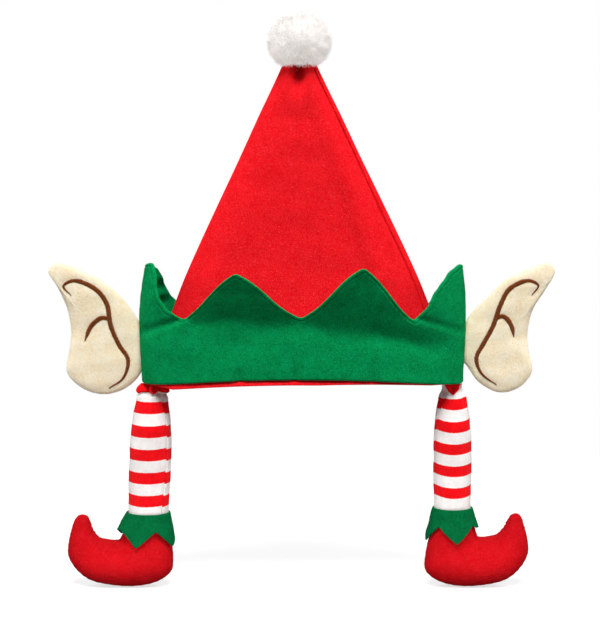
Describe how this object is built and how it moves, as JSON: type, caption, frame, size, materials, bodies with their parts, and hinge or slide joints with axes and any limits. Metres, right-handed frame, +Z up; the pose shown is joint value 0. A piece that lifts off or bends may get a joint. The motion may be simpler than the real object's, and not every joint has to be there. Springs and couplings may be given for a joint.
{
  "type": "elf hat",
  "caption": "Worn felt costume hat: red cone with a pompom, a turned-up green zigzag band, padded ears, and striped legs with curled shoes that hang from the hem.",
  "frame": {"origin": "centre of the head opening, level with the lowest part of the hem, where the hat sits on a head", "axes": "+Z up, the front faces -Y, +X to the right as seen from the front"},
  "size_m": [0.4419, 0.1282, 0.502],
  "materials": {
    "red_felt": "matt pressed felt, slightly fuzzy",
    "green_felt": "matt pressed felt, slightly fuzzy",
    "cream_felt": "matt pressed felt over padding",
    "brown_thread": "satin stitch in slightly glossy thread",
    "white_fur": "soft white pile",
    "striped_jersey": "brushed jersey with red and white stripes across"
  },
  "bodies": {
    "root": {"crown": "red_felt", "band": "green_felt", "pompom": "white_fur", "ear_left": "cream_felt", "ear_right": "cream_felt", "ear_stitching_left": "brown_thread", "ear_stitching_right": "brown_thread", "leg_left": "striped_jersey", "leg_right": "striped_jersey", "collar_left": "green_felt", "collar_right": "green_felt", "shoe_left": "red_felt", "shoe_right": "red_felt"}
  },
  "joints": []
}
